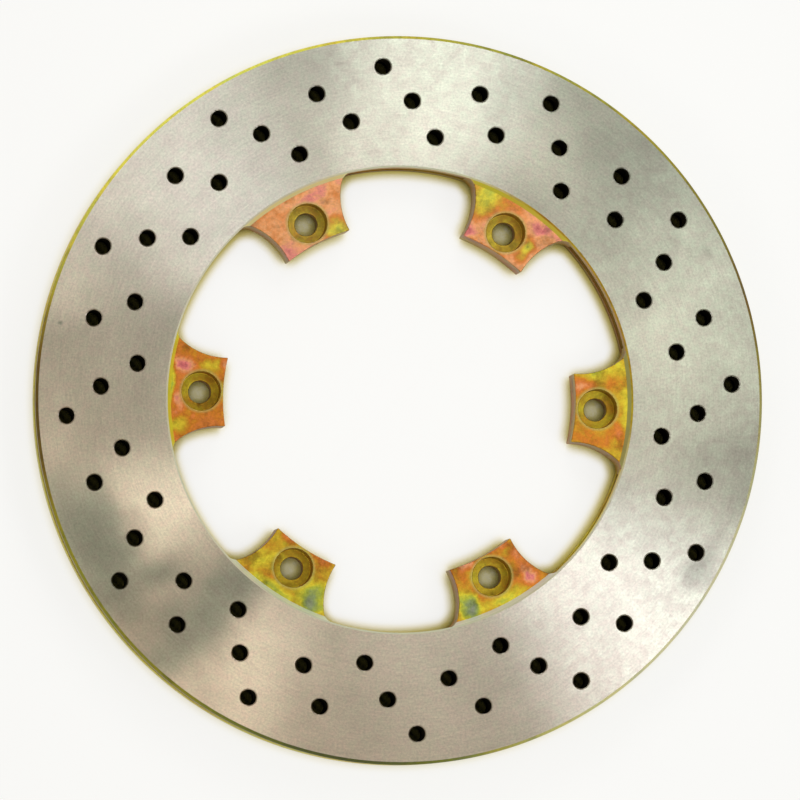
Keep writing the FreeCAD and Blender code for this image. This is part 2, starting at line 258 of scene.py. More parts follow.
# Broad patches on the ground face, given as (degrees round, radius mm, reach mm, how much
# lighter): partly the grinder's uneven work, partly painted highlights and painted shade standing
# in for the lamps' fans and the room shining in the metal.
FACE_TONE_AND_PAINTED_LIGHT = [
    (206, 72, 22, 0.50), (202, 98, 22, -0.50), (213, 93, 22, -0.46), (231, 80, 16, -0.40),
    (233, 91, 14, -0.36), (232, 68, 13, -0.32), (231, 101, 13, -0.24), (218, 80, 10, -0.28),
    (218, 98, 12, -0.10), (224, 93, 10, -0.16), (201, 87, 10, -0.14), (334, 98, 9, -0.40),
    (338, 98, 8, -0.16), (335, 70, 14, -0.18), (337, 85, 12, -0.14), (163, 100, 20, 0.36),
    (184, 77, 22, -0.06), (184, 100, 18, 0.20), (163, 74, 16, -0.10), (14, 82, 34, 0.22),
    (48, 100, 24, -0.24), (63, 84, 17, 0.28), (243, 87, 24, 0.30), (266, 90, 34, -0.10),
    (31, 94, 5, 0.12), (27, 97, 3, -0.14), (29, 89, 3, 0.10), (170, 98, 1.6, -0.50),
    (84, 80, 20, 0.14), (104, 99, 24, -0.24), (350, 101, 26, -0.32), (142, 69, 14, -0.14)]


def ground_iron():
    """Grey iron straight off the grinder: warm, fine grained, streaked by the light in fans."""
    material, bench, shader, place = new_finish("ground_iron_finish")
    flat_place = bench.flat(place)
    marks = bench.make("ShaderNodeGroup", {"Place": place}, node_tree=RING_MARKS)
    grain = bench.noise(place, 1500.0, 4.0, 0.75)
    mottle = bench.noise(place, 420.0, 3.0, 0.6)
    blotch = bench.noise(place, 45.0, 4.0, 0.62)
    tones = bench.ramp(blotch, [(0.30, (0.64, 0.61, 0.53)), (0.62, (0.78, 0.74, 0.645))])
    tint = bench.ramp(mottle, [(0.36, (0.955, 1.00, 0.95)), (0.64, (1.00, 0.95, 0.95))])
    # warmer on one side of the disc and greener on the other
    across = bench.add("ShaderNodeVectorMath", {0: flat_place, 1: (0.64, 0.77, 0.0)},
                       operation="DOT_PRODUCT").outputs["Value"]
    side = bench.ramp(bench.spread(across, -RIM_RADIUS, RIM_RADIUS), [
        (0.0, (1.00, 0.87, 0.76)), (0.5, (1.00, 0.975, 0.94)), (1.0, (0.93, 1.00, 0.99))])
    iron = bench.mix(1.0, bench.mix(0.8, tones, tint, "MULTIPLY"), side, "MULTIPLY")
    uneven = wander(bench, flat_place, 40.0, 0.020)
    # the patches below paint highlights and shade into the face's colour, besides its own uneven
    # tone
    strength = 1.0
    for around, radius, reach, lighter in FACE_TONE_AND_PAINTED_LIGHT:
        strength = bench.plus(strength, round_patch(bench, uneven, radius * MM, around,
                                                    reach * MM, lighter))
    # on the warm side the darker patches are tinted greener: a painted reflection of a cooler part
    # of the room
    dimmed = bench.spread(strength, 0.92, 0.5)
    warm_side = bench.spread(across, -0.1 * RIM_RADIUS, 0.2 * RIM_RADIUS, 1.0, 0.0)
    iron = bench.mix(bench.times(dimmed, warm_side), iron, (0.87, 1.0, 0.98), "MULTIPLY")
    speck = bench.spread(grain, 0.25, 0.75, 0.74, 1.16)
    ring = bench.spread(marks, 0.3, 0.7, 0.93, 1.05)
    strength = bench.times(strength, bench.times(speck, ring))
    dents = bench.plus(bench.times(marks, 0.5), bench.times(grain, 0.5))
    # the rings spread the shine outwards from the axle, so the long way of the shine is radial
    bench.wire(shader, {
        "Base Color": bench.mix(1.0, iron, strength, "MULTIPLY"), "Metallic": 1.0,
        "Roughness": bench.spread(mottle, 0.3, 0.7, 0.32, 0.40), "Tangent": flat_place,
        "Anisotropic": 1.0, "Normal": bench.relief(0.15, 0.04 * MM, dents)})
    return material


# Passivation film: zinc plate dipped in yellow chromate. Where the film is thin it is pale green,
# then it runs through yellow, gold, orange, salmon and pink to red-brown as it thickens.
FILM_SHADES = [
    (0.00, (0.25, 0.27, 0.18)), (0.10, (0.27, 0.33, 0.12)), (0.22, (0.43, 0.47, 0.05)),
    (0.33, (0.70, 0.58, 0.035)), (0.44, (0.58, 0.35, 0.022)), (0.54, (0.60, 0.20, 0.018)),
    (0.64, (0.68, 0.20, 0.045)), (0.73, (0.80, 0.34, 0.14)), (0.82, (0.76, 0.22, 0.19)),
    (0.91, (0.48, 0.09, 0.11)), (1.00, (0.28, 0.13, 0.02))]


def film_colour_group():
    bench, given = node_group("film_colour", "ShaderNodeTree", [
        ("Place", "Vector", None), ("Film", "Float", 0.45), ("Cloud size", "Float", 90.0),
        ("Clouds", "Float", 0.5), ("Stain", "Float", 0.3), ("Tone", "Float", 1.0)],
        [("Color", "Color"), ("Grain", "Float")])
    place = given["Place"]
    cloud = bench.noise(place, given["Cloud size"], 3.0, 0.55, 0.6)
    fine = bench.noise(place, 900.0, 2.0, 0.6)
    grain = bench.noise(place, 1300.0, 3.0, 0.75)
    stain = bench.noise(place, 210.0, 4.0, 0.65)
    swing = bench.times(bench.minus(cloud, 0.5), given["Clouds"])
    ripple = bench.times(bench.minus(fine, 0.5), 0.12)
    film = bench.plus(bench.plus(given["Film"], swing), ripple)
    shade = bench.minus(1.0, bench.times(bench.spread(stain, 0.52, 0.72), given["Stain"]))
    speckle = bench.spread(grain, 0.25, 0.75, 0.76, 1.20)
    level = bench.times(bench.times(shade, speckle), given["Tone"])
    colour = bench.mix(1.0, bench.ramp(film, FILM_SHADES), level, "MULTIPLY")
    bench.add("NodeGroupOutput", {"Color": colour, "Grain": grain})
    return bench.tree


FILM_COLOUR = film_colour_group()


def yellow_plate(name, film, clouds, cloud_size, stain, tone=1.0, metal=0.4, gloss=0.5):
    """Zinc plate with its yellow passivation. Returns the material, its bench, shader and place
    and its film colour group, so that a piece can lay its own colours on it."""
    material, bench, shader, place = new_finish(name)
    colour = bench.add("ShaderNodeGroup", {
        "Place": place, "Film": film, "Clouds": clouds, "Cloud size": cloud_size,
        "Stain": stain, "Tone": tone}, node_tree=FILM_COLOUR)
    grain = colour.outputs["Grain"]
    bench.wire(shader, {
        "Base Color": colour.outputs["Color"], "Metallic": metal, "Specular IOR Level": gloss,
        "Roughness": bench.spread(grain, 0.3, 0.7, 0.34, 0.5),
        "Normal": bench.relief(0.3, 0.05 * MM, grain)})
    return material, bench, shader, place, colour


# How the plate's colour runs round the disc: (degrees round, reach mm, change of film, of tone).
# The film changes are the plate's own colour; the tone changes are painted light and shade round
# the edge.
RIM_FILM_AND_PAINTED_LIGHT = [(128, 90, -0.02, 1.20), (183, 60, 0.16, -0.55), (222, 48, 0.00, -0.25),
            (262, 70, -0.12, -0.55), (318, 60, 0.00, 0.60), (22, 85, 0.12, -0.50)]
BORE_FILM_AND_PAINTED_LIGHT = [(30, 60, 0.10, 0.00), (90, 40, -0.16, 0.55), (180, 50, -0.10, 0.10),
             (270, 75, -0.20, 0.60)]


def run_round(bench, place, radius, film, tone, runs):
    """Film and tone changing softly from one part of a rim or a bore to the next; the tone changes
    are painted light and shade.
    """
    for around, reach, thicker, lighter in runs:
        film = bench.plus(film, round_patch(bench, place, radius, around, reach * MM, thicker))
        tone = bench.plus(tone, round_patch(bench, place, radius, around, reach * MM, lighter))
    return film, tone


def on_rim_side(bench, flat_place):
    """One on the outer half of a plate and nought on the inner half."""
    return bench.above(bench.length(flat_place), (RIM_RADIUS + PLATE_BORE_RADIUS) / 2)


def edge_plate():
    """Plate on the chamfers of rim and bore."""
    material, bench, shader, place, colour = yellow_plate(
        "edge_plate", 0.28, 0.35, 60.0, 0.4, metal=0.2, gloss=0.3)
    flat_place = bench.flat(place)
    at_rim = on_rim_side(bench, flat_place)
    rim_film, rim_tone = run_round(bench, flat_place, RIM_RADIUS, 0.28, 0.80, RIM_FILM_AND_PAINTED_LIGHT)
    bore_film, bore_tone = run_round(bench, flat_place, PLATE_BORE_RADIUS, 0.36, 0.85, BORE_FILM_AND_PAINTED_LIGHT)
    bench.wire(colour, {"Film": bench.choose(at_rim, bore_film, rim_film),
                        "Tone": bench.choose(at_rim, bore_tone, rim_tone)})
    # the grinder rubbed the bore's chamfer nearly bare, but for one stretch that stayed gold
    kept = round_patch(bench, flat_place, PLATE_BORE_RADIUS, 28, 62 * MM, 2.0)
    pale_share = bench.times(bench.minus(1.0, at_rim),
                         bench.maths("MAXIMUM", 0.0, bench.minus(0.8, kept)))
    # the rim's chamfer is paled too, along its lower right and its upper left
    for around, share in ((326, 0.7), (130, 0.12)):
        pale_share = bench.plus(pale_share, bench.times(at_rim, round_patch(
            bench, flat_place, RIM_RADIUS, around, 85 * MM, share)))
    pale_edge = bench.mix(pale_share, colour.outputs["Color"], (0.70, 0.69, 0.58))
    bench.wire(shader, {"Base Color": pale_edge})
    return material


def wall_plate():
    """Thick brown plate on the turned walls of rim and bore, with painted light and shade: paler
    low down on the rim, darker low down on the bore.
    """
    material, bench, shader, place, colour = yellow_plate(
        "wall_plate", 0.50, 0.40, 60.0, 0.5, metal=0.0, gloss=0.12)
    height = bench.apart(place)["Z"]
    flat_place = bench.flat(place)
    at_rim = on_rim_side(bench, flat_place)
    # painted highlights: the rim lighter along its upper left, and the bore between two of the
    # lugs, where the film is also thinner; painted light and shade also run up the walls, the
    # rim's dark at the top and light low down, the bore's dark low down and light at the top
    rim_tone = bench.plus(bench.spread(height, -FACE_HEIGHT, FACE_HEIGHT, 1.50, 0.28),
                          round_patch(bench, flat_place, RIM_RADIUS, 132, 95 * MM, 1.3))
    bright = round_patch(bench, flat_place, PLATE_BORE_RADIUS, 326, 42 * MM, 1.0)
    bore_film = bench.minus(0.47, bench.times(bright, 0.12))
    bore_tone = bench.plus(bench.spread(height, -FACE_HEIGHT, FACE_HEIGHT, 0.22, 0.90),
                           bench.times(bright, 0.5))
    bench.wire(colour, {"Film": bench.choose(at_rim, bore_film, 0.35),
                        "Tone": bench.choose(at_rim, bore_tone, rim_tone)})
    # painted light: the rim's wall paled towards yellow-white low down
    low_down = bench.spread(height, -FACE_HEIGHT, 0.0, 0.75, 0.0)
    paled = bench.mix(bench.times(at_rim, low_down), colour.outputs["Color"], (0.86, 0.88, 0.32))
    bench.wire(shader, {"Base Color": paled})
    return material


def passage_iron():
    """Cast skin inside the passage and on the drills' walls: near black, partly its own dark skin
    and partly painted shade for the deep passage and the holes; browner where the plate reached
    its mouths.
    """
    material, bench, shader, place = new_finish("passage_iron_finish")
    skin = bench.noise(place, 700.0, 4.0, 0.7)
    tones = bench.ramp(skin, [(0.35, (0.012, 0.012, 0.009)), (0.70, (0.045, 0.038, 0.022))])
    from_axle = bench.length(bench.flat(place))
    near_bore = bench.spread(from_axle, PLATE_BORE_RADIUS + 2 * MM, PLATE_BORE_RADIUS + 6 * MM,
                             1.0, 0.0)
    near_rim = bench.spread(from_axle, RIM_RADIUS - 4 * MM, RIM_RADIUS - 1 * MM)
    mouths = bench.mix(bench.maths("MAXIMUM", near_bore, near_rim), tones, (0.34, 0.21, 0.045))
    bench.wire(shader, {
        "Base Color": mouths, "Metallic": 0.0, "Specular IOR Level": 0.0,
        "Roughness": bench.spread(skin, 0.0, 1.0, 0.65, 0.85),
        "Normal": bench.relief(0.5, 0.15 * MM, skin)})
    return material


GROUND_IRON = ground_iron()
EDGE_PLATE = edge_plate()
WALL_PLATE = wall_plate()
PASSAGE_IRON = passage_iron()


def shade_with_crisp_edges(bench, solid, crisp_from):
    """Smooth all over, but crisp at every edge that bends by more than the given degrees."""
    smooth = bench.make("GeometryNodeSetShadeSmooth", {"Geometry": solid, "Shade Smooth": True},
                        domain="FACE")
    bend = bench.make("GeometryNodeInputMeshEdgeAngle")
    return bench.make("GeometryNodeSetShadeSmooth", {
        "Geometry": smooth, "Selection": bench.above(bend, math.radians(crisp_from)),
        "Shade Smooth": False}, domain="EDGE")


def pick(bench, choices, chosen):
    """Picks one of several values by a whole number."""
    node = bench.add("GeometryNodeIndexSwitch", {0: chosen}, data_type="FLOAT")
    while len(node.index_switch_items) < len(choices):
        node.index_switch_items.new()
    bench.wire(node, {number + 1: choice for number, choice in enumerate(choices)})
    return node.outputs[0]


def friction_plate_tree():
    """Section turned into a ring, then sixty drills taken out of it in slanted rows."""
    bench, given = node_group("drilled_friction_plate", "GeometryNodeTree", [
        ("Lower height", "Float", 0.0), ("Upper height", "Float", 0.005),
        ("Rim radius", "Float", RIM_RADIUS), ("Bore radius", "Float", PLATE_BORE_RADIUS),
        ("Lower bore edge", "Float", CAST_EDGE), ("Lower rim edge", "Float", CAST_EDGE),
        ("Upper rim edge", "Float", RIM_CHAMFER), ("Upper bore edge", "Float", BORE_CHAMFER),
        ("Lower mouth", "Float", 0.0), ("Upper mouth", "Float", DRILL_MOUTH),
        ("Drill radius", "Float", DRILL_RADIUS),
        ("Inner hole circle", "Float", INNER_HOLE_CIRCLE),
        ("Outer hole circle", "Float", OUTER_HOLE_CIRCLE),
        ("Row sweep", "Float", ROW_SWEEP), ("Row pairs", "Int", ROW_PAIRS),
        ("Ground iron", "Material", GROUND_IRON), ("Edge plate", "Material", EDGE_PLATE),
        ("Wall plate", "Material", WALL_PLATE), ("Passage iron", "Material", PASSAGE_IRON)],
        [("Plate", "Geometry")])
    index = bench.make("GeometryNodeInputIndex")

    # the section, drawn about the middle of the plate's width
    middle = bench.times(bench.plus(given["Rim radius"], given["Bore radius"]), 0.5)
    half = bench.minus(given["Rim radius"], middle)
    inner = bench.times(half, -1.0)
    corners = {}
    for number, (side, height) in enumerate(((inner, "Lower height"), (inner, "Upper height"),
                                             (half, "Upper height"), (half, "Lower height"))):
        corners["Point %d" % (number + 1)] = bench.xyz(X=side, Y=bench.times(given[height], -1.0))
    section = bench.make("GeometryNodeCurvePrimitiveQuadrilateral", corners, mode="POINTS")
    edges = pick(bench, [given["Lower bore edge"], given["Upper bore edge"],
                                   given["Upper rim edge"], given["Lower rim edge"]], index)
    broken = bench.make("GeometryNodeFilletCurve", {"Curve": section, "Radius": edges,
                                                    "Count": 1}, mode="POLY")
    turn = bench.make("GeometryNodeCurvePrimitiveCircle", {
        "Resolution": RING_STEPS, "Radius": middle})
    ring = bench.make("GeometryNodeCurveToMesh", {"Curve": turn, "Profile Curve": broken})
    # turned a quarter of a degree, so that no line across the ring runs through a drill's corner
    ring = bench.make("GeometryNodeTransform", {
        "Geometry": ring, "Rotation": (0.0, 0.0, math.radians(0.25))})

    # one countersunk drill, as a line along the axle with a radius at each of its four stations
    over = 1 * MM
    line = bench.make("GeometryNodeCurvePrimitiveLine", {"End": (0.0, 0.0, 1.0)})
    stations = bench.make("GeometryNodeResampleCurve", {"Curve": line, "Count": 4})
    height = pick(bench, [bench.minus(given["Lower height"], over),
                                    bench.plus(given["Lower height"], given["Lower mouth"]),
                                    bench.minus(given["Upper height"], given["Upper mouth"]),
                                    bench.plus(given["Upper height"], over)], index)
    placed = bench.make("GeometryNodeSetPosition", {"Geometry": stations,
                                                    "Position": bench.xyz(Z=height)})

    def mouth(opening):
        """Radius a little beyond the face: the cone goes on outwards at 45 degrees."""
        cone = bench.above(opening, 0.0)
        return bench.plus(given["Drill radius"], bench.times(bench.plus(opening, over), cone))

    width = pick(bench, [mouth(given["Lower mouth"]), given["Drill radius"],
                                   given["Drill radius"], mouth(given["Upper mouth"])], index)
    round_section = bench.make("GeometryNodeCurvePrimitiveCircle", {
        "Resolution": DRILL_STEPS, "Radius": 1.0})
    drill = bench.make("GeometryNodeCurveToMesh", {
        "Curve": placed, "Profile Curve": round_section, "Scale": width, "Fill Caps": True})

    # rows of three and of two by turns, five holes to a pair, leaning the same way round
    in_pair = bench.maths("MODULO", index, HOLES_PER_PAIR)
    pair = bench.plus(bench.maths("FLOOR", bench.over(index, HOLES_PER_PAIR)),
                      bench.times(bench.above(in_pair, 2.5), 0.5))
    circle = pick(bench, [0.0, 0.5, 1.0, 0.25, 0.75], in_pair)
    start = bench.times(pair, bench.over(math.tau, given["Row pairs"]))
    lean = bench.times(bench.minus(circle, 0.5), given["Row sweep"])
    turned_by = bench.plus(start, lean)
    span = bench.minus(given["Outer hole circle"], given["Inner hole circle"])
    radius = bench.plus(given["Inner hole circle"], bench.times(circle, span))
    spots = bench.make("GeometryNodePoints", {
        "Count": bench.times(given["Row pairs"], HOLES_PER_PAIR),
        "Position": bench.xyz(X=bench.times(radius, bench.maths("COSINE", turned_by)),
                              Y=bench.times(radius, bench.maths("SINE", turned_by)))})
    drills = bench.make("GeometryNodeInstanceOnPoints", {"Points": spots, "Instance": drill})
    cut_away = bench.make("GeometryNodeRealizeInstances", {"Geometry": drills})
    drilled = bench.make("GeometryNodeMeshBoolean", {"Mesh 1": ring, "Mesh 2": cut_away},
                         operation="DIFFERENCE", solver="EXACT")
    split = shade_with_crisp_edges(bench, drilled, 20)
    solid = bench.make("GeometryNodeRealizeInstances", {"Geometry": split})

    # finishes: plated everywhere, ground bare on the outer face, and cast skin in the passage and
    # on the drills' walls, where its near black is a painted shade
    place = bench.make("GeometryNodeInputPosition")
    steep = bench.maths("ABSOLUTE", bench.apart(bench.make("GeometryNodeInputNormal"))["Z"])
    high = bench.maths("ABSOLUTE", bench.apart(place)["Z"])
    from_axle = bench.length(bench.flat(place))
    past_bore = bench.above(from_axle, bench.plus(given["Bore radius"], 2 * RIM_CHAMFER))
    short_of_rim = bench.below(from_axle, bench.minus(given["Rim radius"], 2 * RIM_CHAMFER))
    between = bench.times(past_bore, short_of_rim)
    flat = bench.above(steep, 0.95)
    upright = bench.below(steep, 0.3)
    cast_edge = bench.below(high, PASSAGE_HEIGHT + 2 * CAST_EDGE)
    hole_wall = bench.times(between, upright)
    passage_side = bench.times(flat, bench.below(high, PASSAGE_HEIGHT + 0.1 * MM))
    mouth_cone = bench.times(between, bench.above(high, FACE_HEIGHT - DRILL_MOUTH))
    outer_side = bench.times(flat, bench.above(high, FACE_HEIGHT - 0.1 * MM))
    solid = bench.make("GeometryNodeSetMaterial", {"Geometry": solid,
                                                   "Material": given["Edge plate"]})
    for first, second, finish in ((cast_edge, upright, "Wall plate"),
                                  (hole_wall, passage_side, "Passage iron"),
                                  (mouth_cone, outer_side, "Ground iron")):
        solid = bench.make("GeometryNodeSetMaterial", {
            "Geometry": solid, "Selection": bench.maths("MAXIMUM", first, second),
            "Material": given[finish]})
    bench.add("NodeGroupOutput", {"Plate": solid})
    return bench.tree


FRICTION_PLATE = friction_plate_tree()
front_plate = build_with_nodes("front_friction_plate_finish", FRICTION_PLATE, {
    "Lower height": PASSAGE_HEIGHT, "Upper height": FACE_HEIGHT,
    "Lower bore edge": CAST_EDGE, "Lower rim edge": CAST_EDGE,
    "Upper rim edge": RIM_CHAMFER, "Upper bore edge": BORE_CHAMFER,
    "Lower mouth": 0.0, "Upper mouth": DRILL_MOUTH})
rear_plate = build_with_nodes("rear_friction_plate_finish", FRICTION_PLATE, {
    "Lower height": -FACE_HEIGHT, "Upper height": -PASSAGE_HEIGHT,
    "Lower bore edge": BORE_CHAMFER, "Lower rim edge": RIM_CHAMFER,
    "Upper rim edge": CAST_EDGE, "Upper bore edge": CAST_EDGE,
    "Lower mouth": DRILL_MOUTH, "Upper mouth": 0.0})
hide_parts("front_friction_plate")
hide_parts("rear_friction_plate")
for plate in (front_plate, rear_plate):
    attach(plate, "root")


# ---------------------------------------------------------------------------
# Cooling vanes: twenty-four cast webs between the plates, 4 mm thick with rounded noses and a
# small root where they run into each plate. They lean the same way as the rows of holes.
# ---------------------------------------------------------------------------
VANE_COUNT = 24
VANE_THICKNESS = 4 * MM
VANE_INNER_RADIUS = 68.35 * MM
VANE_OUTER_RADIUS = 101.4 * MM
VANE_ROOT = 0.7 * MM
VANE_STEP = 0.8 * MM


def cooling_vanes_tree():
    """A straight web with round noses, flared at its roots, bent to the lean and copied round."""
    bench, given = node_group("cooling_vanes", "GeometryNodeTree", [
        ("Vanes", "Int", VANE_COUNT), ("Thickness", "Float", VANE_THICKNESS),
        ("Inner radius", "Float", VANE_INNER_RADIUS),
        ("Outer radius", "Float", VANE_OUTER_RADIUS),
        ("Half height", "Float", PASSAGE_HEIGHT), ("Root", "Float", VANE_ROOT),
        ("Lean per metre", "Float", ROW_SWEEP / (OUTER_HOLE_CIRCLE - INNER_HOLE_CIRCLE)),
        ("Passage iron", "Material", PASSAGE_IRON)], [("Vanes", "Geometry")])
    index = bench.make("GeometryNodeInputIndex")
    outline = bench.make("GeometryNodeCurvePrimitiveQuadrilateral", {
        "Width": bench.minus(given["Outer radius"], given["Inner radius"]),
        "Height": given["Thickness"]}, mode="RECTANGLE")
    rounded = bench.make("GeometryNodeFilletCurve", {
        "Curve": outline, "Radius": bench.times(given["Thickness"], 0.499),
        "Count": 7}, mode="POLY")
    stepped = bench.make("GeometryNodeSubdivideCurve", {"Curve": rounded, "Cuts": 0})
    even = bench.make("GeometryNodeResampleCurve", {"Curve": stepped, "Length": VANE_STEP},
                      mode="LENGTH")
    upright = bench.make("GeometryNodeCurvePrimitiveLine", {
        "Start": bench.xyz(Z=bench.times(given["Half height"], -1.0)),
        "End": bench.xyz(Z=given["Half height"])})
    storeys = bench.make("GeometryNodeResampleCurve", {"Curve": upright, "Count": 11})
    web = bench.make("GeometryNodeCurveToMesh", {"Curve": storeys, "Profile Curve": even,
                                                 "Fill Caps": True})
    # straight web to bent web: along becomes radius, across becomes a distance round the turn
    where = bench.apart(bench.make("GeometryNodeInputPosition"))
    rise = bench.over(bench.maths("ABSOLUTE", where["Z"]), given["Half height"])
    flare = bench.times(bench.maths("POWER", rise, 5.0), given["Root"])
    share = bench.over(where["Y"], bench.times(given["Thickness"], 0.5))
    across = bench.plus(where["Y"], bench.times(share, flare))
    middle = bench.times(bench.plus(given["Inner radius"], given["Outer radius"]), 0.5)
    radius = bench.plus(middle, where["X"])
    hole_middle = 0.5 * (INNER_HOLE_CIRCLE + OUTER_HOLE_CIRCLE)
    lean = bench.times(bench.minus(radius, hole_middle), given["Lean per metre"])
    pitch = bench.over(math.tau, given["Vanes"])
    turned_by = bench.plus(bench.plus(lean, bench.times(pitch, 0.5)), bench.over(across, radius))
    bent = bench.make("GeometryNodeSetPosition", {"Geometry": web, "Position": bench.xyz(
        X=bench.times(radius, bench.maths("COSINE", turned_by)),
        Y=bench.times(radius, bench.maths("SINE", turned_by)), Z=where["Z"])})
    axle = bench.make("GeometryNodePoints", {"Count": given["Vanes"]})
    copies = bench.make("GeometryNodeInstanceOnPoints", {"Points": axle, "Instance": bent})
    turned = bench.make("GeometryNodeRotateInstances", {
        "Instances": copies, "Rotation": bench.xyz(Z=bench.times(index, pitch))})
    solid = bench.make("GeometryNodeRealizeInstances", {"Geometry": turned})
    split = shade_with_crisp_edges(bench, solid, 50)
    cast = bench.make("GeometryNodeSetMaterial", {"Geometry": split,
                                                  "Material": given["Passage iron"]})
    bench.add("NodeGroupOutput", {"Vanes": cast})
    return bench.tree


vanes = build_with_nodes("cooling_vanes_finish", cooling_vanes_tree(), {})
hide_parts(*["cooling_vane_%02d" % (number + 1) for number in range(VANE_COUNT)])
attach(vanes, "root")


# ---------------------------------------------------------------------------
# Mounting lugs: six blocks cast on the inside of the ring, milled to 13 mm, scalloped between,
# and counterbored from the front for the bolts of the hub. All of it keeps its yellow film.
# ---------------------------------------------------------------------------
LUG_COUNT = 6
LUG_FACE = 6.5 * MM
LUG_TIP_RADIUS = 50 * MM
LUG_HALF_WIDTH = 9.7 * MM
LIP_FOOT_RADIUS = 64.75 * MM
LIP_HEIGHT = 7.5 * MM
TUCKED_BACK = 66 * MM
TUCKED_HEIGHT = 7.4 * MM

BOLT_RADIUS = 56.25 * MM
BOLT_HOLE_RADIUS = 3.2 * MM
COUNTERBORE_RADIUS = 5.5 * MM
COUNTERBORE_FLOOR = 0.3 * MM

SCALLOP_CENTRE_RADIUS = 57.75 * MM
ROOT_FILLET = 3.5 * MM
SCALLOP_STEPS = 28
ROOT_FILLET_STEPS = 8
ROOT_CIRCLE = 65.9 * MM
EDGE_ROUND = 0.3 * MM

# How the blank is stepped and how far the cutting tools reach past it; angles in degrees.
LUG_STEP = 2
LUG_STEPS_A_SIDE = 9
BOLT_STEPS = 64
TOOL_REACH = 10 * MM
POCKET_EDGE = 24
POCKET_INSIDE = 44 * MM
POCKET_OUTSIDE = 72 * MM
WELD = 0.05 * MM


def sweep_about(centre, radius, start, end, steps):
    """Points of an arc from one direction to another, in degrees about its centre."""
    return [centre + polar(radius, start + (end - start) * step / steps)
            for step in range(steps + 1)]


def heading(centre, point):
    return math.degrees(math.atan2(point.y - centre.y, point.x - centre.x))


def scallop_side():
    """Half of one lug's outline, from its tip along the flank and scallop to the root."""
    half_pitch = 180 / LUG_COUNT
    centre = polar(SCALLOP_CENTRE_RADIUS, half_pitch)
    scallop_radius = centre.y - LUG_HALF_WIDTH
    fillet_reach = ROOT_CIRCLE - ROOT_FILLET
    cut_reach = scallop_radius - ROOT_FILLET
    spread = math.degrees(math.acos(
        (fillet_reach ** 2 + SCALLOP_CENTRE_RADIUS ** 2 - cut_reach ** 2)
        / (2 * fillet_reach * SCALLOP_CENTRE_RADIUS)))
    fillet_centre = polar(fillet_reach, half_pitch - spread)
    towards_fillet = heading(centre, fillet_centre)
    flank_start = Vector((LUG_TIP_RADIUS - 4 * MM, LUG_HALF_WIDTH, 0))
    scallop = sweep_about(centre, scallop_radius, -90, towards_fillet, SCALLOP_STEPS)
    fillet = sweep_about(fillet_centre, ROOT_FILLET, towards_fillet, half_pitch - spread,
                         ROOT_FILLET_STEPS)
    return [flank_start] + scallop + fillet[1:]


def mesh_piece(name, vertices, faces):
    mesh = bpy.data.meshes.new(name)
    mesh.from_pydata([tuple(vertex) for vertex in vertices], [], faces)
    mesh.update()
    piece = bpy.data.objects.new(name, mesh)
    bpy.context.scene.collection.objects.link(piece)
    return piece


def stacked(name, rings):
    """A closed solid from rings of points, the lowest first, anticlockwise from above."""
    count = len(rings[0])
    last = (len(rings) - 1) * count
    faces = [tuple(reversed(range(count))), tuple(range(last, last + count))]
    for base in range(0, last, count):
        for step in range(count):
            after = (step + 1) % count
            faces.append((base + step, base + after, base + count + after, base + count + step))
    return mesh_piece(name, [point for ring in rings for point in ring], faces)


def lug_blank():
    """The lug's section, lips and tucked back included, swept over its share of the turn."""
    section = [(LUG_TIP_RADIUS, -LUG_FACE), (LIP_FOOT_RADIUS, -LUG_FACE),
               (PLATE_BORE_RADIUS, -LIP_HEIGHT), (TUCKED_BACK, -TUCKED_HEIGHT),
               (TUCKED_BACK, TUCKED_HEIGHT), (PLATE_BORE_RADIUS, LIP_HEIGHT),
               (LIP_FOOT_RADIUS, LUG_FACE), (LUG_TIP_RADIUS, LUG_FACE)]
    # the steps are such that none of them falls beside a corner of the finished lug
    half = LUG_STEPS_A_SIDE
    points = [polar(radius, LUG_STEP * (step - half), height)
              for step in range(2 * half + 1) for radius, height in section]
    count = len(section)
    last = 2 * half * count
    faces = [tuple(reversed(range(count))), tuple(range(last, last + count))]
    for corner in range(count):
        after = (corner + 1) % count
        if corner in (0, 6):
            # a flat face is two faces, one each side of the bolt hole
            for first in (0, half):
                steps = range(first * count, (first + half + 1) * count, count)
                faces.append(tuple([base + corner for base in reversed(steps)]
                                   + [base + after for base in steps]))
            continue
        for base in range(0, last, count):
            faces.append((base + corner, base + after, base + count + after,
                          base + count + corner))
    return mesh_piece("lug_blank", points, faces)


def cut_from(blank, tools):
    for tool in tools:
        cut = blank.modifiers.new("cut", "BOOLEAN")
        cut.operation = "DIFFERENCE"
        cut.solver = "EXACT"
        cut.object = tool
    depsgraph = bpy.context.evaluated_depsgraph_get()
    mesh = bpy.data.meshes.new_from_object(blank.evaluated_get(depsgraph))
    for tool in tools:
        bpy.data.objects.remove(tool)
    bpy.data.objects.remove(blank)
    return mesh


def lug_shape():
    """The blank with a pocket cut at either side, the bolt hole and its counterbore."""
    side = scallop_side()
    left = side + [polar(POCKET_OUTSIDE, heading(Vector((0, 0, 0)), side[-1])),
                   polar(POCKET_OUTSIDE, POCKET_EDGE), polar(POCKET_INSIDE, POCKET_EDGE)]
    right = [Vector((point.x, -point.y, 0)) for point in reversed(left)]
    tools = []
    for name, outline in (("left_pocket", left), ("right_pocket", right)):
        tools.append(stacked(name, [[Vector((point.x, point.y, height)) for point in outline]
                                    for height in (-TOOL_REACH, TOOL_REACH)]))
    bolt = Vector((BOLT_RADIUS, 0, 0))
    stations = [(-TOOL_REACH, BOLT_HOLE_RADIUS), (COUNTERBORE_FLOOR, BOLT_HOLE_RADIUS),
                (COUNTERBORE_FLOOR, COUNTERBORE_RADIUS), (TOOL_REACH, COUNTERBORE_RADIUS)]
    tools.append(stacked("counterbore", [
        [bolt + polar(radius, 360 * step / BOLT_STEPS, height) for step in range(BOLT_STEPS)]
        for height, radius in stations]))
    return cut_from(lug_blank(), tools)


